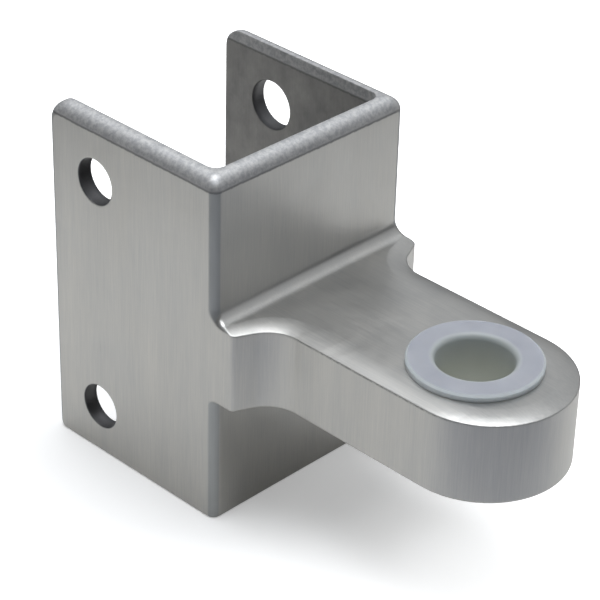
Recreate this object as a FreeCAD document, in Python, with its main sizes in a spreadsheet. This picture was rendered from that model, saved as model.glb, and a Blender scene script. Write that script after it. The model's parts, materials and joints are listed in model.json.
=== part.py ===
# Wrap-around hinge bracket with a flanged nylon pin bushing.
#
# The bracket is one stainless steel casting: a U-shaped channel that wraps the edge of a
# partition post, and a solid lug that stands out of its web and ends in a round nose.
# The bushing drops into the vertical bore of the lug and takes the pin of the door hinge.
#
# Frame, in millimetres: the origin is the centre of the web's inner face, where the post's
# edge seats. +X runs out along the lug, +Z is up along the pin, and +Y is the far flange.
import FreeCAD, Part

import math
import os

import Sketcher
from FreeCAD import Vector

SIZES = {
    # channel
    "channel_width": 38.1,
    "channel_height": 56.9,
    "flange_reach": 34.8,
    "wall": 2.5,
    "inner_corner_radius": 1.75,
    "top_edge_round": 2.1,
    "outer_edge_round": 1.4,
    "free_edge_round": 1.1,
    "low_edge_round": 0.4,
    "free_top_corner_radius": 3.2,
    "free_low_corner_radius": 1.5,
    # lug
    "lug_width": 25.5,
    "lug_thickness": 13.4,
    "lug_underside_height": 20.95,
    "nose_centre_reach": 34.1,
    "bore_axis_reach": 31.9,
    "root_reach": 3.6,
    "root_blend_reach": 10.0,
    "root_blend_radius": 5.5,
    "root_corner_round": 1.0,
    "lug_side_round": 0.6,
    "crown_radius": 13.0,
    "crown_reach": 3.6,
    "crown_meeting_angle": 2.0,
    "crown_root_reach": 1.6,
    "crown_root_meeting_angle": 18.0,
    "lug_top_fillet": 2.2,
    "lug_underside_fillet": 1.0,
    "lug_bore_diameter": 14.7,
    "bore_edge_round": 0.3,
    # bolt holes
    "bolt_free_edge_distance": 9.9,
    "bolt_lower_height": 8.1,
    "bolt_pitch": 38.9,
    "screw_hole_diameter": 7.14,
    "barrel_hole_diameter": 7.94,
    "hole_edge_round": 0.2,
    # bushing
    "pin_bore_diameter": 11.2,
    "sleeve_diameter": 14.6,
    "sleeve_length": 13.1,
    "rim_diameter": 19.4,
    "rim_thickness": 1.1,
    "rim_edge_chamfer": 0.35,
    "bore_mouth_round": 0.9,
}


# heights in the part's frame, whose Z = 0 is halfway up the channel
LUG_LOW = "Sizes.lug_underside_height - Sizes.channel_height / 2"
LUG_HIGH = "Sizes.lug_underside_height + Sizes.lug_thickness - Sizes.channel_height / 2"
BOLT_BACK = "Sizes.flange_reach - Sizes.wall - Sizes.bolt_free_edge_distance"
BOLT_LOW = "Sizes.bolt_lower_height - Sizes.channel_height / 2"
BOLT_HIGH = "Sizes.bolt_lower_height + Sizes.bolt_pitch - Sizes.channel_height / 2"

# two points nearer than this, in millimetres, are the same point
TOUCHING = 0.001


def make_sheet(doc):
    """Write every driving size to a spreadsheet cell with the size's name as its alias."""
    sheet = doc.addObject("Spreadsheet::Sheet", "Sizes")
    for row, (alias, value) in enumerate(SIZES.items(), start=1):
        sheet.set(f"A{row}", alias)
        sheet.set(f"B{row}", str(value))
        sheet.setAlias(f"B{row}", alias)
    doc.recompute()
    return sheet


# ---------------------------------------------------------------- sketch and feature helpers

def origin_plane(body, role):
    """Return the body's own origin plane that has this role, such as XY_Plane."""
    for feature in body.Origin.OriginFeatures:
        if feature.Role == role:
            return feature
    raise RuntimeError(f"no origin plane {role}")


def new_sketch(body, name, role, offset=None):
    """Add a sketch on an origin plane, moved along the plane's normal by an expression."""
    sketch = body.newObject("Sketcher::SketchObject", name)
    sketch.AttachmentSupport = [(origin_plane(body, role), "")]
    sketch.MapMode = "FlatFace"
    if offset:
        sketch.setExpression("AttachmentOffset.Base.z", offset)
    return sketch


def bind(sketch, name, kind, *geometry, to):
    """Add a dimension, name it, and drive it with an expression."""
    value = abs(sketch.evalExpression(to))
    index = sketch.addConstraint(Sketcher.Constraint(kind, *geometry, float(value)))
    sketch.renameConstraint(index, name)
    sketch.setExpression(f"Constraints.{name}", to)


def rectangle(sketch, behind, ahead, half_width):
    """Draw a rectangle about the X axis, from `behind` at -X to `ahead`, or to the Y axis."""
    low = -sketch.evalExpression(behind)
    high = sketch.evalExpression(ahead) if ahead else 0
    half = sketch.evalExpression(half_width)
    corners = [Vector(low, -half), Vector(high, -half), Vector(high, half), Vector(low, half)]
    sides = [Part.LineSegment(a, b) for a, b in zip(corners, corners[1:] + corners[:1])]
    ids = [sketch.addGeometry(side, False) for side in sides]
    for this, following in zip(ids, ids[1:] + ids[:1]):
        sketch.addConstraint(Sketcher.Constraint("Coincident", this, 2, following, 1))
    sketch.addConstraint(Sketcher.Constraint("Horizontal", ids[0]))
    sketch.addConstraint(Sketcher.Constraint("Horizontal", ids[2]))
    sketch.addConstraint(Sketcher.Constraint("Vertical", ids[3]))
    sketch.addConstraint(Sketcher.Constraint("Symmetric", ids[1], 1, ids[1], 2, -1))
    bind(sketch, "behind", "DistanceX", ids[0], 1, -1, 1, to=behind)
    if ahead:
        bind(sketch, "ahead", "DistanceX", -1, 1, ids[0], 2, to=ahead)
    else:
        sketch.addConstraint(Sketcher.Constraint("PointOnObject", ids[0], 2, -2))
    bind(sketch, "half_width", "DistanceY", -1, 1, ids[1], 2, to=half_width)


def circle_on_axis(sketch, reach, diameter):
    """Draw a circle whose centre is on the X axis."""
    centre = Vector(sketch.evalExpression(reach), 0)
    radius = sketch.evalExpression(diameter) / 2
    circle = sketch.addGeometry(Part.Circle(centre, Vector(0, 0, 1), radius), False)
    sketch.addConstraint(Sketcher.Constraint("PointOnObject", circle, 3, -1))
    bind(sketch, "reach", "DistanceX", -1, 1, circle, 3, to=reach)
    bind(sketch, "diameter", "Diameter", circle, to=diameter)


def hole_column(sketch, back, heights, diameter):
    """Draw one circle per height, all at the same distance `back` on the -X side."""
    distance = sketch.evalExpression(back)
    radius = sketch.evalExpression(diameter) / 2
    for number, height in enumerate(heights, start=1):
        level = sketch.evalExpression(height)
        circle = sketch.addGeometry(Part.Circle(Vector(-distance, level), Vector(0, 0, 1), radius), False)
        bind(sketch, f"back_{number}", "DistanceX", circle, 3, -1, 1, to=back)
        if level < 0:
            bind(sketch, f"level_{number}", "DistanceY", circle, 3, -1, 1, to=f"-({height})")
        else:
            bind(sketch, f"level_{number}", "DistanceY", -1, 1, circle, 3, to=height)
        bind(sketch, f"diameter_{number}", "Diameter", circle, to=diameter)


def pad(body, name, sketch, length):
    """Pad a sketch along its normal."""
    feature = body.newObject("PartDesign::Pad", name)
    feature.Profile = sketch
    feature.setExpression("Length", length)
    body.Document.recompute()
    return feature


def pocket(body, name, sketch, length, reverse=False):
    """Cut a sketch against its normal, or along it if reversed, and check that it cuts."""
    volume_before = body.Shape.Volume
    feature = body.newObject("PartDesign::Pocket", name)
    feature.Profile = sketch
    feature.Reversed = reverse
    feature.setExpression("Length", length)
    body.Document.recompute()
    if not body.Shape.Volume < volume_before - 1:
        raise RuntimeError(f"{name} cuts nothing")
    return feature


def edges_at(shape, points):
    """Name the edges of a shape that pass through the given points."""
    names = []
    for point in points:
        probe = Part.Vertex(point)
        distances = [edge.distToShape(probe)[0] for edge in shape.Edges]
        nearest = min(distances)
        if nearest > 0.02:
            raise RuntimeError(f"no edge at {point}, nearest is {nearest:.3f} away")
        names.append(f"Edge{distances.index(nearest) + 1}")
    return names


def round_edges(body, name, radius, points):
    """Fillet the edges through these points, and the edges that run on smoothly from them."""
    base = body.Tip
    feature = body.newObject("PartDesign::Fillet", name)
    feature.Base = (base, edges_at(base.Shape, points))
    feature.setExpression("Radius", f"Sizes.{radius}")
    body.Document.recompute()
    return feature


def both_sides(points):
    """Return the points and their mirror images across the plane Y = 0."""
    return points + [Vector(point.x, -point.y, point.z) for point in points]


# ---------------------------------------------------------------- bracket

def lug_outline(sketch):
    """Draw the lug's plan: full width at the web, a concave sweep, parallel sides, round nose."""
    value = sketch.evalExpression
    half_root = value("Sizes.channel_width / 2")
    half_lug = value("Sizes.lug_width / 2")
    inside_web = value("Sizes.wall / 2")
    root_end = value("Sizes.wall + Sizes.root_reach")
    blend_end = value("Sizes.wall + Sizes.root_blend_reach")
    nose = value("Sizes.wall + Sizes.nose_centre_reach")
    radius = value("Sizes.root_blend_radius")

    # first guesses for the sweep, which the constraints below make exact
    sweep_start = Vector(blend_end - 0.9 * radius, -half_lug - 0.6 * radius)
    sweep_middle = Vector(blend_end - 0.5 * radius, -half_lug - 0.15 * radius)

    def mirrored(point):
        return Vector(point.x, -point.y)

    near = [Vector(inside_web, -half_root), Vector(root_end, -half_root), sweep_start,
            Vector(blend_end, -half_lug), Vector(nose, -half_lug)]
    far = [mirrored(point) for point in near]
    tip = Vector(nose + half_lug, 0)
    pieces = [
        Part.LineSegment(near[0], near[1]),
        Part.LineSegment(near[1], near[2]),
        Part.Arc(near[2], sweep_middle, near[3]),
        Part.LineSegment(near[3], near[4]),
        Part.Arc(near[4], tip, far[4]),
        Part.LineSegment(far[4], far[3]),
        Part.Arc(far[3], mirrored(sweep_middle), far[2]),
        Part.LineSegment(far[2], far[1]),
        Part.LineSegment(far[1], far[0]),
        Part.LineSegment(far[0], near[0]),
    ]
    ids = [sketch.addGeometry(piece, False) for piece in pieces]
    (near_root, near_slope, near_sweep, near_side, nose_arc,
     far_side, far_sweep, far_slope, far_root, inside) = ids

    def ends(geometry):
        """Return the geometry's start and end numbers in the order of travel along the path."""
        reversed_arc = geometry in (near_sweep, far_sweep)
        return (2, 1) if reversed_arc else (1, 2)

    smooth = [(near_slope, near_sweep), (near_sweep, near_side), (near_side, nose_arc),
              (nose_arc, far_side), (far_side, far_sweep), (far_sweep, far_slope)]
    for this, following in zip(ids, ids[1:] + ids[:1]):
        kind = "Tangent" if (this, following) in smooth else "Coincident"
        sketch.addConstraint(Sketcher.Constraint(kind, this, ends(this)[1], following, ends(following)[0]))
    for line in (near_root, near_side, far_side):
        sketch.addConstraint(Sketcher.Constraint("Horizontal", line))
    sketch.addConstraint(Sketcher.Constraint("Symmetric", near_root, 2, far_root, 1, -1))
    sketch.addConstraint(Sketcher.Constraint("Symmetric", inside, 1, inside, 2, -1))
    sketch.addConstraint(Sketcher.Constraint("Symmetric", near_side, 1, far_side, 2, -1))
    sketch.addConstraint(Sketcher.Constraint("Equal", near_sweep, far_sweep))

    bind(sketch, "inside_web", "DistanceX", -1, 1, near_root, 1, to="Sizes.wall / 2")
    bind(sketch, "root_end", "DistanceX", -1, 1, near_root, 2, to="Sizes.wall + Sizes.root_reach")
    bind(sketch, "root_width", "DistanceY", inside, 2, inside, 1, to="Sizes.channel_width")
    bind(sketch, "sweep_end", "DistanceX", -1, 1, near_side, 1, to="Sizes.wall + Sizes.root_blend_reach")
    bind(sketch, "sweep_radius", "Radius", near_sweep, to="Sizes.root_blend_radius")
    bind(sketch, "nose_centre", "DistanceX", -1, 1, nose_arc, 3, to="Sizes.wall + Sizes.nose_centre_reach")
    bind(sketch, "nose_radius", "Radius", nose_arc, to="Sizes.lug_width / 2")


def make_casting(doc, sheet):
    """Build the casting with its concave blends, bore and holes, its outer edges still sharp."""
    body = doc.addObject("PartDesign::Body", "casting")
    half_height = sheet.channel_height / 2
    half_width = sheet.channel_width / 2
    web = sheet.wall
    free = sheet.wall - sheet.flange_reach
    lug_low = sheet.lug_underside_height - half_height
    lug_high = lug_low + sheet.lug_thickness
    lug_middle = (lug_low + lug_high) / 2
    flange_middle = half_width - sheet.wall / 2
    bore_axis = sheet.wall + sheet.bore_axis_reach

    # channel: a block with a slot for the post
    block = new_sketch(body, "block_outline", "XY_Plane", "-Sizes.channel_height / 2")
    rectangle(block, "Sizes.flange_reach - Sizes.wall", "Sizes.wall", "Sizes.channel_width / 2")
    pad(body, "channel_block", block, "Sizes.channel_height")
    slot = new_sketch(body, "slot_outline", "XY_Plane", "Sizes.channel_height / 2")
    rectangle(slot, "Sizes.flange_reach", None, "Sizes.channel_width / 2 - Sizes.wall")
    pocket(body, "post_slot", slot, "Sizes.channel_height")

    # lug, bored for the bushing
    plan = new_sketch(body, "lug_plan", "XY_Plane", LUG_LOW)
    lug_outline(plan)
    pad(body, "lug", plan, "Sizes.lug_thickness")
    bore = new_sketch(body, "bore_outline", "XY_Plane", LUG_HIGH)
    circle_on_axis(bore, "Sizes.wall + Sizes.bore_axis_reach", "Sizes.lug_bore_diameter")
    pocket(body, "lug_bore", bore, "Sizes.lug_thickness")

    # concave corners, the small corners of the root, and the corners of the flanges
    round_edges(body, "lug_top_blend", "lug_top_fillet", [Vector(web, 0, lug_high)])
    round_edges(body, "lug_underside_blend", "lug_underside_fillet", [Vector(web, 0, lug_low)])
    round_edges(body, "root_corners", "root_corner_round",
                both_sides([Vector(web + sheet.root_reach, -half_width, lug_middle)]))
    round_edges(body, "slot_corners", "inner_corner_radius",
                both_sides([Vector(0, half_width - sheet.wall, 0)]))
    round_edges(body, "free_top_corners", "free_top_corner_radius",
                both_sides([Vector(free, flange_middle, half_height)]))
    round_edges(body, "free_low_corners", "free_low_corner_radius",
                both_sides([Vector(free, flange_middle, -half_height)]))

    # bolt holes: screws go in through the near flange, barrel nuts through the far one
    near_holes = new_sketch(body, "screw_hole_outlines", "XZ_Plane", "Sizes.channel_width / 2")
    hole_column(near_holes, BOLT_BACK, (BOLT_LOW, BOLT_HIGH), "Sizes.screw_hole_diameter")
    pocket(body, "screw_holes", near_holes, "Sizes.wall")
    far_holes = new_sketch(body, "barrel_hole_outlines", "XZ_Plane", "-Sizes.channel_width / 2")
    hole_column(far_holes, BOLT_BACK, (BOLT_LOW, BOLT_HIGH), "Sizes.barrel_hole_diameter")
    pocket(body, "barrel_holes", far_holes, "Sizes.wall", reverse=True)

    # the rims of the bore and of the holes
    bore_rims = [Vector(bore_axis + sheet.lug_bore_diameter / 2, 0, level) for level in (lug_high, lug_low)]
    round_edges(body, "bore_rims", "bore_edge_round", bore_rims)
    bolt_column = free + sheet.bolt_free_edge_distance
    rims = []
    for height in (sheet.bolt_lower_height, sheet.bolt_lower_height + sheet.bolt_pitch):
        for inset in (0, sheet.wall):
            rims.append(Vector(bolt_column, inset - half_width,
                               height - half_height + sheet.screw_hole_diameter / 2))
            rims.append(Vector(bolt_column, half_width - inset,
                               height - half_height + sheet.barrel_hole_diameter / 2))
    round_edges(body, "hole_rims", "hole_edge_round", rims)
    return body


def outer_edge_radius(sheet, point):
    """Return how far the casting's outer edge is rounded at this point of it."""
    half_height = sheet.channel_height / 2
    lug_low = sheet.lug_underside_height - half_height
    lug_high = lug_low + sheet.lug_thickness
    free = sheet.wall - sheet.flange_reach
    fillet_end = sheet.wall + sheet.lug_top_fillet
    if abs(point.z - half_height) < TOUCHING:
        return sheet.top_edge_round
    if abs(point.z + half_height) < TOUCHING or abs(point.z - lug_low) < TOUCHING:
        return sheet.low_edge_round
    if abs(point.z - lug_high) < TOUCHING and point.x > fillet_end - TOUCHING:
        return sheet.lug_side_round
    if abs(point.x - free) < TOUCHING:
        return sheet.free_edge_round
    return sheet.outer_edge_round


def is_outer_edge(sheet, edge):
    """Tell the casting's outer edges, which are worn round, from its seams, rims and slot."""
    if edge.isClosed():
        return False
    half_height = sheet.channel_height / 2
    half_width = sheet.channel_width / 2
    web = sheet.wall
    lug_low = sheet.lug_underside_height - half_height
    middle = edge.valueAt((edge.FirstParameter + edge.LastParameter) / 2)
    points = [edge.Vertexes[0].Point, middle, edge.Vertexes[1].Point]

    def all_at(values, target):
        return all(abs(value - target) < TOUCHING for value in values)

    across_slope = all_at([point.x for point in points], points[0].x)
    beyond_web = min(point.x for point in points) > web + TOUCHING
    if all_at([abs(point.y) for point in points], half_width):
        return not (beyond_web and across_slope)
    if all_at([abs(point.z) for point in points], half_height):
        outside = min(abs(point.y) for point in points) > half_width - sheet.wall / 2
        return all_at([point.x for point in points], web) or (outside and beyond_web)
    on_lug_face = any(all_at([point.z for point in points], level)
                      for level in (lug_low, lug_low + sheet.lug_thickness))
    return on_lug_face and beyond_web and not across_slope


def radii_along(sheet, edge):
    """Return the radii at the two ends of an outer edge, in the order the rounding takes them.

    A straight edge has one radius. An arc between two edges runs from one radius to the other,
    in the direction of its chain of edges: upwards round the flanges, down the far web corner,
    from far to near over the lug's top edge, up the near web corner, and under the lug out
    from the near web corner and back to the far one.
    """
    if edge.Curve.TypeId == "Part::GeomLine":
        radius = outer_edge_radius(sheet, edge.CenterOfMass)
        return radius, radius

    def progress(point):
        if point.x < 0:
            return point.z, 0
        downwards = -point.z * math.copysign(1, point.y)
        if point.z > 0:
            return -point.y, downwards
        return downwards, 0

    ends = sorted([vertex.Point for vertex in edge.Vertexes], key=progress)
    return tuple(outer_edge_radius(sheet, end) for end in ends)


def make_rounded_casting(doc, sheet):
    """Round the casting's outer edges, each by its own radius, blending where two meet."""
    casting = make_casting(doc, sheet)
    rounded = doc.addObject("Part::Fillet", "rounded_casting")
    rounded.Base = casting
    rounds = []
    for number, edge in enumerate(casting.Shape.Edges, start=1):
        if is_outer_edge(sheet, edge):
            rounds.append((number, *radii_along(sheet, edge)))
    rounded.Edges = rounds
    doc.recompute()

    # the flat outer faces of the flanges must end one free_edge_round short of the free ends
    rounded_free_edge = sheet.wall - sheet.flange_reach + sheet.free_edge_round
    half_height = sheet.channel_height / 2
    low_end = sheet.free_low_corner_radius - half_height
    high_end = half_height - sheet.free_top_corner_radius
    edges_at(rounded.Shape, both_sides([Vector(rounded_free_edge, sheet.channel_width / 2, level)
                                        for level in (low_end, high_end)]))
    return rounded


def crown_section(sheet, foot, inward, reach, meeting_angle):
    """Draw the crown cutter's section: an arc that falls from the lug's top face to its side.

    The foot is on the lug's sharp top edge, and inward points from there across the top face.
    The arc meets the face at the meeting angle, `reach` from the edge. It runs on a little at
    both ends: past the edge, and above the face, where it stops short of the fillet at the web.
    """
    overrun = 0.6
    run_in = 0.2
    head = Vector(0, 0, 1.5)
    radius = sheet.crown_radius
    meeting = math.radians(meeting_angle)
    apex = reach + radius * math.sin(meeting)

    def on_arc(distance):
        rise = math.sqrt(radius ** 2 - (apex - distance) ** 2) - radius * math.cos(meeting)
        return foot + inward * distance + Vector(0, 0, rise)

    outer = on_arc(-overrun)
    inner = on_arc(reach + run_in)
    middle = on_arc((reach + run_in - overrun) / 2)
    outer_head = Vector(outer.x, outer.y, inner.z) + head
    sides = [Part.LineSegment(inner, inner + head), Part.LineSegment(inner + head, outer_head),
             Part.LineSegment(outer_head, outer)]
    return Part.Wire([Part.Arc(outer, middle, inner).toShape()] + [side.toShape() for side in sides])


def make_crown_cutter(doc, sheet):
    """Sweep the crown's section round the lug's top edge, steeper at the roots than on the sides."""
    top = sheet.lug_underside_height + sheet.lug_thickness - sheet.channel_height / 2
    beyond_root = 1.5
    outline = doc.getObject("lug_plan").Geometry
    slope, near_sweep, near_side, nose, far_side, far_sweep, far_slope = outline[1:8]

    def lifted(point):
        return Vector(point.x, point.y, top)

    def lifted_shape(curve):
        shape = curve.toShape()
        shape.translate(Vector(0, 0, top))
        return shape

    outward = (slope.StartPoint - slope.EndPoint).normalize() * beyond_root
    start = lifted(slope.StartPoint + outward)
    end = Vector(start.x, -start.y, start.z)
    spine = Part.Wire([Part.LineSegment(start, lifted(slope.EndPoint)).toShape()]
                      + [lifted_shape(curve) for curve in (near_sweep, near_side, nose, far_side, far_sweep)]
                      + [Part.LineSegment(lifted(far_slope.StartPoint), end).toShape()])
    pipe = Part.BRepOffsetAPI.MakePipeShell(spine)
    pipe.setBiNormalMode(Vector(0, 0, 1))
    across_root = Vector(outward.y, -outward.x).normalize()
    at_root = (sheet.crown_root_reach, sheet.crown_root_meeting_angle)
    at_side = (sheet.crown_reach, sheet.crown_meeting_angle)
    stations = [(start, across_root, *at_root)]
    for side, across in ((near_side, Vector(0, 1)), (far_side, Vector(0, -1))):
        stations += [(lifted(point), across, *at_side) for point in (side.StartPoint, side.EndPoint)]
    stations.append((end, Vector(across_root.x, -across_root.y), *at_root))
    for station in stations:
        pipe.add(crown_section(sheet, *station), False, False)
    pipe.build()
    pipe.makeSolid()
    cutter = doc.addObject("Part::Feature", "crown_cutter")
    cutter.Shape = pipe.shape()
    return cutter


def make_bracket(doc, sheet):
    """Cut the crown round the lug's top edge into the rounded casting."""
    bracket = doc.addObject("Part::Cut", "hinge_bracket")
    bracket.Label = "hinge_bracket"
    bracket.Base = make_rounded_casting(doc, sheet)
    bracket.Tool = make_crown_cutter(doc, sheet)
    doc.recompute()
    return bracket


# ---------------------------------------------------------------- bushing

def bushing_profile(sketch):
    """Draw half of the bushing's section: the sleeve's wall and the rim on top of it."""
    value = sketch.evalExpression
    bore = value("Sizes.pin_bore_diameter / 2")
    sleeve = value("Sizes.sleeve_diameter / 2")
    rim = value("Sizes.rim_diameter / 2")
    top = value("Sizes.rim_thickness")
    foot = -value("Sizes.sleeve_length")
    corners = [Vector(bore, foot), Vector(sleeve, foot), Vector(sleeve, 0),
               Vector(rim, 0), Vector(rim, top), Vector(bore, top)]
    sides = [Part.LineSegment(a, b) for a, b in zip(corners, corners[1:] + corners[:1])]
    ids = [sketch.addGeometry(side, False) for side in sides]
    foot_side, sleeve_side, under_rim, rim_side, top_side, bore_side = ids
    for this, following in zip(ids, ids[1:] + ids[:1]):
        sketch.addConstraint(Sketcher.Constraint("Coincident", this, 2, following, 1))
    for side in (foot_side, under_rim, top_side):
        sketch.addConstraint(Sketcher.Constraint("Horizontal", side))
    for side in (sleeve_side, rim_side, bore_side):
        sketch.addConstraint(Sketcher.Constraint("Vertical", side))
    sketch.addConstraint(Sketcher.Constraint("PointOnObject", under_rim, 1, -1))
    bind(sketch, "bore_radius", "DistanceX", -1, 1, foot_side, 1, to="Sizes.pin_bore_diameter / 2")
    bind(sketch, "sleeve_radius", "DistanceX", -1, 1, foot_side, 2, to="Sizes.sleeve_diameter / 2")
    bind(sketch, "rim_radius", "DistanceX", -1, 1, rim_side, 1, to="Sizes.rim_diameter / 2")
    bind(sketch, "rim_top", "DistanceY", -1, 1, rim_side, 2, to="Sizes.rim_thickness")
    bind(sketch, "sleeve_foot", "DistanceY", foot_side, 2, -1, 1, to="Sizes.sleeve_length")


def make_bushing(doc, sheet):
    """Turn the flanged bushing about Z, its rim resting on the plane Z = 0 of its own body."""
    body = doc.addObject("PartDesign::Body", "pin_bushing")
    body.Label = "pin_bushing"
    profile = new_sketch(body, "bushing_section", "XZ_Plane")
    bushing_profile(profile)
    turned = body.newObject("PartDesign::Revolution", "bushing_turned")
    turned.Profile = profile
    turned.ReferenceAxis = (profile, ["V_Axis"])
    turned.Angle = 360
    doc.recompute()

    rim = sheet.rim_diameter / 2
    bore = sheet.pin_bore_diameter / 2
    sleeve = sheet.sleeve_diameter / 2
    chamfer = body.newObject("PartDesign::Chamfer", "rim_chamfer")
    rim_edges = [Vector(rim, 0, sheet.rim_thickness), Vector(sleeve, 0, -sheet.sleeve_length)]
    chamfer.Base = (turned, edges_at(turned.Shape, rim_edges))
    chamfer.setExpression("Size", "Sizes.rim_edge_chamfer")
    doc.recompute()
    round_edges(body, "bore_mouth", "bore_mouth_round", [Vector(bore, 0, sheet.rim_thickness)])

    body.setExpression("Placement.Base.x", "Sizes.wall + Sizes.bore_axis_reach")
    body.setExpression("Placement.Base.z", LUG_HIGH)
    doc.recompute()
    return body


# ---------------------------------------------------------------- checks and files

def check_document(doc):
    """Stop if any object of the document failed to recompute."""
    for item in doc.Objects:
        if {"Invalid", "Error"} & set(item.State):
            raise RuntimeError(f"{item.Name} is {item.State}")


def check_part(part):
    """Stop if a sub-part's shape is missing, not valid, or not one closed solid."""
    shape = part.Shape
    if shape.isNull() or not shape.isValid() or len(shape.Solids) != 1:
        raise RuntimeError(f"{part.Label} has no single valid solid")


def main():
    """Build the document, check it, and write each sub-part to a file of its own."""
    doc = FreeCAD.newDocument("wrap_around_hinge_bracket")
    sheet = make_sheet(doc)
    parts = [make_bracket(doc, sheet), make_bushing(doc, sheet)]
    doc.recompute()
    check_document(doc)
    for part in parts:
        check_part(part)
    os.makedirs("parts", exist_ok=True)
    for part in parts:
        part.Shape.exportStep(f"parts/{part.Label}.step")
        box = part.Shape.optimalBoundingBox()
        print(f"{part.Label}: {part.Shape.Volume:.1f} mm3, "
              f"X {box.XMin:.2f} to {box.XMax:.2f}, Y {box.YMin:.2f} to {box.YMax:.2f}, "
              f"Z {box.ZMin:.2f} to {box.ZMax:.2f}")


main()
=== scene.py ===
# Wrap-around hinge bracket with a nylon bushing: materials, floor, studio light and camera.
#
# Everything is in metres, in the CAD model's frame: +X along the lug, +Z up along the hinge
# pin, and +Y towards the far flange. The object stands on its channel's bottom edges.
import json
import math

import bpy
from mathutils import Matrix, Vector


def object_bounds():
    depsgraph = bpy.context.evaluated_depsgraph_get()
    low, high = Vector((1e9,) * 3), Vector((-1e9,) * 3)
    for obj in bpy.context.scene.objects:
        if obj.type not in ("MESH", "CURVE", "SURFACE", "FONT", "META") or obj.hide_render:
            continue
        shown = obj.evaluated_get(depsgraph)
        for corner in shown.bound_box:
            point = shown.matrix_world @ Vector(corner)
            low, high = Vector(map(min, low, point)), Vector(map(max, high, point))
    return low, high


MM = 0.001

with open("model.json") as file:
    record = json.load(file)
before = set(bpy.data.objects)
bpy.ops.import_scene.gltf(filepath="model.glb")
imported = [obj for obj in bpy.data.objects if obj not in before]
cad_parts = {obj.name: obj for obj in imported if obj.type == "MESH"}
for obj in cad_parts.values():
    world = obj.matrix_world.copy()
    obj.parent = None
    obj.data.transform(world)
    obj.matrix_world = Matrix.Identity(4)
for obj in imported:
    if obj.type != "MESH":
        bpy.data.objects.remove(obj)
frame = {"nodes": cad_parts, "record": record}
cad_low, cad_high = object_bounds()

bracket = frame["nodes"]["hinge_bracket"]
bushing = frame["nodes"]["pin_bushing"]
mounts = {mount["name"]: mount for mount in frame["record"]["mounts"]}
near_bolts = mounts["near_bolts"]
far_bolts = mounts["far_bolts"]
pin_bore = mounts["hinge_pin_bore"]
pin_axis_x = pin_bore["pos_m"][0]
bushing_top = mounts["bushing_thrust_face"]["pos_m"][2]
PIN_RADIUS = pin_bore["dims"]["r_mm"] * MM

# sizes of the CAD model that its mounts don't give
WALL = 2.5 * MM
TOP_EDGE = 2.1 * MM
OUTER_EDGE = 1.4 * MM
RIM_RADIUS = 9.7 * MM
RIM_THICKNESS = 1.1 * MM
lug_top = bushing_top - RIM_THICKNESS


# ---------------------------------------------------------------- node helpers

class Shader:
    """A material's node tree, with one short call for each kind of node used here."""

    def __init__(self, name):
        self.material = bpy.data.materials.new(name)
        self.material.use_nodes = True
        self.nodes = self.material.node_tree.nodes
        self.links = self.material.node_tree.links
        self.nodes.clear()
        self.output = self.nodes.new("ShaderNodeOutputMaterial")
        self.surface = self.nodes.new("ShaderNodeBsdfPrincipled")
        self.links.new(self.surface.outputs["BSDF"], self.output.inputs["Surface"])
        self.place = self.nodes.new("ShaderNodeTexCoord").outputs["Object"]

    def feed(self, socket, value):
        """Link an output to a socket, or write a plain value on it."""
        if isinstance(value, bpy.types.NodeSocket):
            self.links.new(value, socket)
        else:
            socket.default_value = value

    def axes(self, vector):
        """Split a vector into its X, Y and Z outputs."""
        node = self.nodes.new("ShaderNodeSeparateXYZ")
        self.links.new(vector, node.inputs["Vector"])
        return node.outputs

    def noise(self, scale, detail=2.0, roughness=0.5, distortion=0.0):
        """Return a noise value near 0.5 at each point, with its own scale along each axis."""
        stretch = self.nodes.new("ShaderNodeMapping")
        stretch.inputs["Scale"].default_value = scale
        self.links.new(self.place, stretch.inputs["Vector"])
        node = self.nodes.new("ShaderNodeTexNoise")
        self.links.new(stretch.outputs["Vector"], node.inputs["Vector"])
        node.inputs["Scale"].default_value = 1.0
        node.inputs["Detail"].default_value = detail
        node.inputs["Roughness"].default_value = roughness
        node.inputs["Distortion"].default_value = distortion
        return node.outputs["Fac"]

    def math(self, operation, first, second=0.0):
        """Return the result of one sum."""
        node = self.nodes.new("ShaderNodeMath")
        node.operation = operation
        for socket, value in zip(node.inputs, (first, second)):
            self.feed(socket, value)
        return node.outputs["Value"]

    def length(self, first, second):
        """Return the length of a vector that has these two parts."""
        squares = [self.math("MULTIPLY", part, part) for part in (first, second)]
        return self.math("SQRT", self.math("ADD", *squares))

    def span(self, value, low_in, high_in, low_out, high_out):
        """Map a value from one range to another, held inside the new range."""
        node = self.nodes.new("ShaderNodeMapRange")
        for socket, item in zip(node.inputs, (value, low_in, high_in, low_out, high_out)):
            self.feed(socket, item)
        return node.outputs["Result"]

    def rise(self, value, start, end):
        """Return 0 up to the start and 1 from the end on, with a straight ramp between."""
        return self.span(value, start, end, 0.0, 1.0)

    def fall(self, value, start, end):
        """Return 1 up to the start and 0 from the end on, with a straight ramp between."""
        return self.span(value, start, end, 1.0, 0.0)

    def band(self, value, rising, falling):
        """Return 1 between two ramps and 0 outside them."""
        return self.math("MULTIPLY", self.rise(value, *rising), self.fall(value, *falling))

    def blend(self, factor, first, second):
        """Mix two colours."""
        node = self.nodes.new("ShaderNodeMix")
        node.data_type = "RGBA"
        self.feed(node.inputs[0], factor)
        self.feed(node.inputs[6], first)
        self.feed(node.inputs[7], second)
        return node.outputs[2]

    def bump(self, height, strength, distance, base=None):
        """Return the shading normal bent by a height."""
        node = self.nodes.new("ShaderNodeBump")
        self.feed(node.inputs["Height"], height)
        self.feed(node.inputs["Strength"], strength)
        node.inputs["Distance"].default_value = distance
        if base is not None:
            self.links.new(base, node.inputs["Normal"])
        return node.outputs["Normal"]


# most of a noise's values lie between these
NOISE_RANGE = (0.3, 0.7)


# ---------------------------------------------------------------- brushed stainless casting

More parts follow.
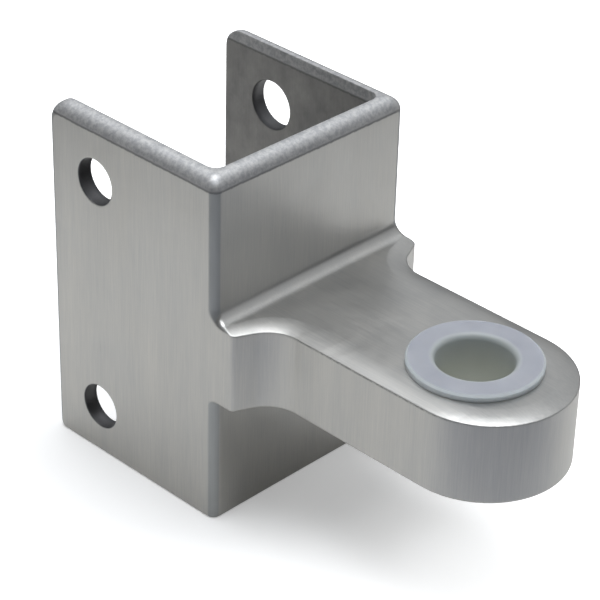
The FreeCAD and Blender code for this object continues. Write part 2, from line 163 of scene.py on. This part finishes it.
STEEL_LIGHT = (0.61, 0.60, 0.575, 1.0)
STEEL_DARK = (0.47, 0.475, 0.475, 1.0)
SKIN_LIGHT = (0.36, 0.355, 0.345, 1.0)
SKIN_DARK = (0.27, 0.268, 0.265, 1.0)
EDGE_LIGHT = (0.64, 0.64, 0.64, 1.0)
EDGE_DARK = (0.48, 0.485, 0.50, 1.0)
# painted shade: the darker colour of the channel's two upright outer corners
CORNER_SHADE = (0.43, 0.445, 0.455, 1.0)
# painted shade: the near-black colour of the bolt holes' walls and of the painted shade lines
HOLE_AND_LINE_SHADE = (0.13, 0.13, 0.135, 1.0)

# noise scales along X, Y and Z, per metre
UPRIGHT_GRAIN = (6000.0, 6000.0, 150.0)
LENGTHWAYS_GRAIN = (150.0, 6000.0, 6000.0)
BELT_BANDS = (300.0, 300.0, 30.0)
CLOUD = (90.0, 90.0, 70.0)
MOTTLE = (260.0, 260.0, 180.0)
SPECKLE = (1500.0, 1500.0, 1500.0)

# how far the normal points up or down where the brushing turns, and how far it must face both
# sideways ways at once on a corner
FLAT_RAMP = (0.55, 0.85)
CORNER_TURN_RAMP = (0.10, 0.25)

# the noise values over which one colour gives way to the next
SKIN_RAMP = (0.35, 0.68)
WORN_RAMP = (0.38, 0.60)
BROKEN_RAMP = (0.35, 0.60)

# how much of the brushed tone comes from each unevenness
GRAIN_SHARE = 0.50
BANDS_SHARE = 0.20
CLOUD_SHARE = 0.30
# how strongly the painted shade lines darken the colour
SHADE_LINE_STRENGTH = 0.6

# roughness: the belt's, what the clouds change, and what each zone adds
BELT_ROUGHNESS = (0.30, 0.38)
CLOUD_ROUGHNESS = (-0.03, 0.05)
SKIN_ROUGHNESS = 0.22
RUGGED_ROUGHNESS = 0.22
DRILLED_ROUGHNESS = 0.15

# ramps of the painted shade line along the border of the top edge, as heights above that border
BORDER_STARTS = (-0.10 * MM, 0.05 * MM)
BORDER_ENDS = (0.20 * MM, 0.40 * MM)

# ramps of the painted shade line under the lug's top edge: its drop below the top face, its reach along X
LINE_DROP_STARTS = (0.60 * MM, 0.70 * MM)
LINE_DROP_ENDS = (0.85 * MM, 1.05 * MM)
LINE_REACH_STARTS = (10 * MM, 14 * MM)
LINE_REACH_ENDS = (38 * MM, 45 * MM)


def top_edge_masks(s, z, wander):
    """Return masks for the channel's worn top edge and for the line of painted shade along its uneven
    border.
    """
    fade = 0.25 * MM
    low = s.math("ADD", cad_high.z - TOP_EDGE - fade, s.math("MULTIPLY", wander, 2 * fade))
    above = s.math("SUBTRACT", z, low)
    return s.rise(above, 0.0, fade), s.band(above, BORDER_STARTS, BORDER_ENDS)


def edge_shade_line(s, x, z, wander):
    """Return up to 1 on the broken line of painted shade under the lug's ground top edge and 0 elsewhere.
    """
    line = s.band(s.math("SUBTRACT", lug_top, z), LINE_DROP_STARTS, LINE_DROP_ENDS)
    along = s.band(x, LINE_REACH_STARTS, LINE_REACH_ENDS)
    faintest = 0.25
    broken = s.span(wander, *BROKEN_RAMP, faintest, 1.0)
    return s.math("MULTIPLY", s.math("MULTIPLY", line, along), broken)


def corner_mask(s, x, y, facing):
    """Return 1 on the channel's two upright outer corners and 0 on the rest of the casting."""
    flat_end = cad_high.y - OUTER_EDGE
    behind_web_face = s.fall(x, WALL + 0.10 * MM, WALL + 0.25 * MM)
    at_side = s.rise(s.math("ABSOLUTE", y), flat_end - 0.2 * MM, flat_end)
    turned = s.math("MULTIPLY", s.math("ABSOLUTE", facing["X"]), s.math("ABSOLUTE", facing["Y"]))
    at_corner = s.math("MULTIPLY", behind_web_face, at_side)
    return s.math("MULTIPLY", at_corner, s.rise(turned, *CORNER_TURN_RAMP))


def channel_mask(s, x, y):
    """Return 1 inside the channel, where the belt can't reach, and 0 on the rest of the casting."""
    half_inside = cad_high.y - WALL
    across = s.fall(s.math("ABSOLUTE", y), half_inside + 0.3 * MM, half_inside + 0.9 * MM)
    along = s.fall(x, 0.2 * MM, 0.8 * MM)
    return s.math("MULTIPLY", across, along)


def hole_mask(s, x, y, z):
    """Return 1 on the walls of the bolt holes and 0 on the rest of the casting."""
    mask = None
    for pattern in (near_bolts, far_bolts):
        centre_x, _, centre_z = pattern["pos_m"]
        half_pitch = pattern["dims"]["spacing_y_mm"] * MM / 2
        rim = pattern["dims"]["hole_r_mm"] * MM
        side = 1.0 if pattern["axis"][1] > 0 else -1.0
        aside = s.math("SUBTRACT", x, centre_x)
        above_hole = s.math("SUBTRACT", s.math("ABSOLUTE", s.math("SUBTRACT", z, centre_z)), half_pitch)
        wall = s.fall(s.length(aside, above_hole), rim + 0.02 * MM, rim + 0.18 * MM)
        wall = s.math("MULTIPLY", wall, s.math("GREATER_THAN", s.math("MULTIPLY", y, side), 0.0))
        mask = wall if mask is None else s.math("MAXIMUM", mask, wall)
    return mask


def brushed_steel():
    """Satin stainless: belt-brushed upright on the sides and along the lug on top.

    The inside of the channel keeps its dull cast skin. The walls of the bolt holes are painted near-black
    and the upright outer corners darker, as painted shade, and thin lines of painted shade run along the
    top edge's border and under the lug's top edge.
    """
    s = Shader("brushed_steel")
    x, y, z = s.axes(s.place)
    facing = s.axes(s.nodes.new("ShaderNodeTexCoord").outputs["Normal"])
    flat = s.rise(s.math("ABSOLUTE", facing["Z"]), *FLAT_RAMP)
    inside = channel_mask(s, x, y)
    hole_walls_rough_shaded = hole_mask(s, x, y, z)
    corner = corner_mask(s, x, y, facing)

    # fine lines left by the belt: upright on the sides, lengthways on the top faces
    upright = s.noise(UPRIGHT_GRAIN, detail=3.0, roughness=0.6)
    lengthways = s.noise(LENGTHWAYS_GRAIN, detail=3.0, roughness=0.6)
    grain = s.math("ADD", s.math("MULTIPLY", upright, s.math("SUBTRACT", 1.0, flat)),
                   s.math("MULTIPLY", lengthways, flat))

    # broad unevenness of the hand-held belt, and of the casting under it
    bands = s.noise(BELT_BANDS)
    cloud = s.noise(CLOUD, detail=3.0, distortion=0.6)
    grit = s.noise(SPECKLE)
    mottle = s.noise(MOTTLE, detail=4.0, roughness=0.65)
    speckle = s.noise(SPECKLE, detail=4.0, roughness=0.7)
    # painted shade: a dark line along the top edge's uneven border, and another under the lug's top edge
    top_edge, border = top_edge_masks(s, z, speckle)
    lines = s.math("MAXIMUM", border, edge_shade_line(s, x, z, speckle))
    painted_shade_line = s.math("MULTIPLY", lines, SHADE_LINE_STRENGTH)
    rugged = s.math("MAXIMUM", top_edge, corner)

    tone = s.math("ADD", s.math("MULTIPLY", grain, GRAIN_SHARE), s.math("MULTIPLY", bands, BANDS_SHARE))
    tone = s.math("ADD", tone, s.math("MULTIPLY", cloud, CLOUD_SHARE))
    brushed = s.blend(s.rise(tone, *NOISE_RANGE), STEEL_DARK, STEEL_LIGHT)
    skin = s.blend(s.rise(mottle, *SKIN_RAMP), SKIN_DARK, SKIN_LIGHT)
    colour = s.blend(inside, brushed, skin)
    # painted shade: the upright outer corners are painted darker
    colour = s.blend(corner, colour, CORNER_SHADE)
    worn = s.blend(s.rise(speckle, *WORN_RAMP), EDGE_DARK, EDGE_LIGHT)
    colour = s.blend(top_edge, colour, worn)
    # painted shade: the walls of the bolt holes and the painted shade lines take one near-black colour
    s.feed(s.surface.inputs["Base Color"], s.blend(s.math("MAXIMUM", hole_walls_rough_shaded, painted_shade_line), colour, HOLE_AND_LINE_SHADE))
    s.surface.inputs["Metallic"].default_value = 1.0

    rough = s.math("ADD", s.span(grain, *NOISE_RANGE, *BELT_ROUGHNESS),
                   s.span(cloud, *NOISE_RANGE, *CLOUD_ROUGHNESS))
    for mask, added in ((inside, SKIN_ROUGHNESS), (rugged, RUGGED_ROUGHNESS), (hole_walls_rough_shaded, DRILLED_ROUGHNESS)):
        rough = s.math("ADD", rough, s.math("MULTIPLY", mask, added))
    s.feed(s.surface.inputs["Roughness"], rough)

    # relief on the softened edges: waves and belt lines all over, pits in the cast skin, dents
    # where the top edge and corners are rugged, and fine grit on everything
    worn_edges = s.nodes.new("ShaderNodeBevel")
    worn_edges.samples = 6
    worn_edges.inputs["Radius"].default_value = 0.35 * MM
    normal = s.bump(cloud, strength=0.25, distance=0.5 * MM, base=worn_edges.outputs["Normal"])
    normal = s.bump(grain, strength=0.45, distance=0.02 * MM, base=normal)
    normal = s.bump(mottle, strength=s.math("MULTIPLY", inside, 0.5), distance=0.15 * MM, base=normal)
    normal = s.bump(speckle, strength=s.math("MULTIPLY", rugged, 0.35), distance=0.08 * MM, base=normal)
    normal = s.bump(grit, strength=0.12, distance=0.03 * MM, base=normal)
    s.feed(s.surface.inputs["Normal"], normal)
    return s.material


# ---------------------------------------------------------------- nylon

NYLON = (0.37, 0.385, 0.435, 1.0)
NYLON_PALE = (0.42, 0.435, 0.48, 1.0)
NYLON_EDGE_HIGHLIGHT = (0.52, 0.555, 0.575, 1.0)
NYLON_MOUTH_LIGHT = (0.46, 0.49, 0.49, 1.0)
NYLON_BORE_LIGHT = (0.50, 0.52, 0.47, 1.0)
MILK = (160.0, 160.0, 160.0)
MOULDED_SKIN = (900.0, 900.0, 900.0)
MILK_RAMP = (0.35, 0.65)
NYLON_ROUGHNESS = (0.36, 0.48)


def nylon():
    """Natural nylon: milky and a little see-through, with a satin moulded skin.

    Its outer edge is painted paler than the rim as a painted highlight, and the mouth of its bore and the
    bore below are painted paler as painted light; the bore is also warmer.
    """
    s = Shader("natural_nylon")
    x, y, height = s.axes(s.place)
    reach = s.length(s.math("SUBTRACT", x, pin_axis_x), y)
    at_edge = s.rise(reach, RIM_RADIUS - 0.40 * MM, RIM_RADIUS - 0.25 * MM)
    at_mouth = s.fall(reach, PIN_RADIUS + 0.3 * MM, PIN_RADIUS + 1.0 * MM)
    deep = s.fall(height, bushing_top - 5.0 * MM, bushing_top - 0.8 * MM)
    in_bore = s.fall(reach, PIN_RADIUS + 0.3 * MM, PIN_RADIUS + 0.6 * MM)

    milk = s.noise(MILK, detail=3.0)
    colour = s.blend(s.rise(milk, *MILK_RAMP), NYLON, NYLON_PALE)
    # painted highlight: the bushing's outer edge is painted paler
    colour = s.blend(at_edge, colour, NYLON_EDGE_HIGHLIGHT)
    # painted light: the mouth of the bore is painted paler, and the bore below paler and warmer
    colour = s.blend(at_mouth, colour, NYLON_MOUTH_LIGHT)
    s.feed(s.surface.inputs["Base Color"], s.blend(s.math("MULTIPLY", deep, in_bore), colour, NYLON_BORE_LIGHT))
    s.surface.inputs["Subsurface Weight"].default_value = 0.6
    s.surface.inputs["Subsurface Radius"].default_value = (1.0, 1.1, 1.2)
    s.surface.inputs["Subsurface Scale"].default_value = 1.5 * MM
    s.surface.inputs["IOR"].default_value = 1.53
    s.feed(s.surface.inputs["Roughness"], s.span(milk, *NOISE_RANGE, *NYLON_ROUGHNESS))
    s.feed(s.surface.inputs["Normal"], s.bump(s.noise(MOULDED_SKIN), strength=0.10, distance=0.02 * MM))
    return s.material


def paint(node, material):
    """Put one material on every slot of a CAD node."""
    if not node.material_slots:
        node.data.materials.append(material)
    for slot in node.material_slots:
        slot.material = material


paint(bracket, brushed_steel())
paint(bushing, nylon())


# ---------------------------------------------------------------- floor and studio light

# the floor's own glow, weak round the channel's foot and strong away from it
FLOOR_SIZE = 4.0
PAPER_LIFT_NEAR = 0.27
PAPER_LIFT_FAR = 0.80
PAPER_LIFT_RAMP = (0.03, 0.07)

# the table that the metal mirrors, with light and shade painted into its colour: lit near the object, dark
# further out and on one side
TABLE_WARM = (1.0, 0.985, 0.955, 1.0)
TABLE_COOL = (0.955, 0.975, 1.05, 1.0)
TABLE_BLACK = (0.0, 0.0, 0.0, 1.0)
TABLE_TONE = 0.76
TABLE_LIT_TO = 0.105
TABLE_DARK_FROM = 0.20
TABLE_FAR_TONE = 0.25
TABLE_DARK_SIDE = (0.87, -0.50)
TABLE_DARK_RAMP = (0.035, 0.085)
TABLE_DARK_TONE = 0.5

# the dome: ramps over the height of a direction, and towards the side where the camera is
DOME_COLOUR = (0.96, 0.98, 1.0, 1.0)
HORIZON_GLOW = 0.05
WALL_GLOW = 0.54
WALL_RAMP = (0.02, 0.30)
ROOF_GAIN = 11.0
ROOF_RAMP = (0.87, 1.0)
CAMERA_SIDE = (0.693, -0.721, 0.0)
CAMERA_SIDE_RAMP = (0.0, 0.7)
CAMERA_SIDE_GAIN = 0.15

SOFTBOX_PLACE = Vector((-0.42, 0.20, 0.54))
SOFTBOX_SIDE = 0.30
SOFTBOX_POWER = 0.1


def glowing_paper(s, x, y):
    """Make the shader's surface pale paper that gives off its own light."""
    s.surface.inputs["Base Color"].default_value = (0.9, 0.9, 0.9, 1.0)
    s.surface.inputs["Roughness"].default_value = 0.9
    s.surface.inputs["Specular IOR Level"].default_value = 0.1
    s.surface.inputs["Emission Color"].default_value = (1.0, 1.0, 1.0, 1.0)
    channel_middle = cad_low.x / 2
    spread = s.length(s.math("SUBTRACT", x, channel_middle), y)
    lift = s.span(spread, *PAPER_LIFT_RAMP, PAPER_LIFT_NEAR, PAPER_LIFT_FAR)
    s.feed(s.surface.inputs["Emission Strength"], lift)
    return s.surface.outputs["BSDF"]


def mirrored_table(s, x, y):
    """Return a plain surface whose colour paints light and shade: lighter near the object and darker
    further out, warm on one side and darker and cooler on the other.
    """
    lit = s.span(s.length(x, y), TABLE_LIT_TO, TABLE_DARK_FROM, 1.0, TABLE_FAR_TONE)
    side_x, side_y = TABLE_DARK_SIDE
    aside = s.math("ADD", s.math("MULTIPLY", x, side_x), s.math("MULTIPLY", y, side_y))
    turned = s.rise(aside, *TABLE_DARK_RAMP)
    shade = s.span(turned, 0.0, 1.0, 1.0, TABLE_DARK_TONE)
    tone = s.math("MULTIPLY", s.math("MULTIPLY", lit, shade), TABLE_TONE)
    tint = s.blend(turned, TABLE_WARM, TABLE_COOL)
    table = s.nodes.new("ShaderNodeBsdfDiffuse")
    s.links.new(s.blend(tone, TABLE_BLACK, tint), table.inputs["Color"])
    return table.outputs["BSDF"]


def add_floor():
    """Lay a floor that is glowing paper, except to glossy rays, which see a darker table there."""
    bpy.ops.mesh.primitive_plane_add(size=FLOOR_SIZE, location=(0, 0, cad_low.z))
    floor = bpy.context.object
    floor.name = "floor"
    s = Shader("floor_paper")
    x, y, _ = s.axes(s.place)
    choice = s.nodes.new("ShaderNodeMixShader")
    s.links.new(s.nodes.new("ShaderNodeLightPath").outputs["Is Glossy Ray"], choice.inputs[0])
    s.links.new(glowing_paper(s, x, y), choice.inputs[1])
    s.links.new(mirrored_table(s, x, y), choice.inputs[2])
    s.links.new(choice.outputs["Shader"], s.output.inputs["Surface"])
    floor.data.materials.append(s.material)


def add_softbox():
    """Add a weak square softbox, high behind the channel's far side, that faces the object."""
    data = bpy.data.lights.new("overhead", "AREA")
    data.shape = "RECTANGLE"
    data.size = SOFTBOX_SIDE
    data.size_y = SOFTBOX_SIDE
    data.energy = SOFTBOX_POWER
    light = bpy.data.objects.new("overhead", data)
    light.location = SOFTBOX_PLACE
    light.rotation_euler = (-SOFTBOX_PLACE).to_track_quat("-Z", "Y").to_euler()
    bpy.context.scene.collection.objects.link(light)


def add_dome():
    """Surround the object with a pale dome, very bright overhead.

    It is dark at the horizon and on the side where the camera stands.
    """
    world = bpy.data.worlds.new("studio")
    world.use_nodes = True
    nodes = world.node_tree.nodes
    links = world.node_tree.links

    def ramp(value, low_in, high_in, low_out, high_out):
        node = nodes.new("ShaderNodeMapRange")
        node.interpolation_type = "SMOOTHSTEP"
        links.new(value, node.inputs[0])
        for socket, number in zip(list(node.inputs)[1:5], (low_in, high_in, low_out, high_out)):
            socket.default_value = number
        return node.outputs["Result"]

    def product(first, second):
        node = nodes.new("ShaderNodeMath")
        node.operation = "MULTIPLY"
        links.new(first, node.inputs[0])
        links.new(second, node.inputs[1])
        return node.outputs["Value"]

    direction = nodes.new("ShaderNodeTexCoord").outputs["Generated"]
    axes = nodes.new("ShaderNodeSeparateXYZ")
    links.new(direction, axes.inputs["Vector"])
    side = nodes.new("ShaderNodeVectorMath")
    side.operation = "DOT_PRODUCT"
    side.inputs[1].default_value = CAMERA_SIDE
    links.new(direction, side.inputs[0])
    walls = ramp(axes.outputs["Z"], *WALL_RAMP, HORIZON_GLOW, WALL_GLOW)
    roof = ramp(axes.outputs["Z"], *ROOF_RAMP, 1.0, ROOF_GAIN)
    dim = ramp(side.outputs["Value"], *CAMERA_SIDE_RAMP, 1.0, CAMERA_SIDE_GAIN)
    background = nodes["Background"]
    background.inputs["Color"].default_value = DOME_COLOUR
    links.new(product(product(walls, roof), dim), background.inputs["Strength"])
    bpy.context.scene.world = world


# ---------------------------------------------------------------- camera

AIM = Vector((0.77, 0.0, 1.0)) * MM
CAMERA_DISTANCE = 352.96 * MM
CAMERA_AZIMUTH = math.radians(43.855)
CAMERA_ELEVATION = math.radians(31.614)
CAMERA_ROLL = math.radians(1.539)
# the lens and the sensor alone are in millimetres
LENS = 144.53
SENSOR = 36.0
CLIP_NEAR = 0.01
CLIP_FAR = 20.0


def add_camera():
    """Set the camera by its angles round the aim point, then roll it about its own axis."""
    back = Vector((math.sin(CAMERA_AZIMUTH) * math.cos(CAMERA_ELEVATION),
                   -math.cos(CAMERA_AZIMUTH) * math.cos(CAMERA_ELEVATION),
                   math.sin(CAMERA_ELEVATION)))
    data = bpy.data.cameras.new("camera")
    data.lens = LENS
    data.sensor_width = SENSOR
    data.clip_start = CLIP_NEAR
    data.clip_end = CLIP_FAR
    camera = bpy.data.objects.new("camera", data)
    turn = back.to_track_quat("Z", "Y").to_matrix().to_4x4() @ Matrix.Rotation(CAMERA_ROLL, 4, "Z")
    camera.matrix_world = Matrix.Translation(AIM + back * CAMERA_DISTANCE) @ turn
    bpy.context.scene.collection.objects.link(camera)
    bpy.context.scene.camera = camera


add_floor()
add_dome()
add_softbox()
add_camera()
bpy.context.scene.view_settings.view_transform = "Standard"
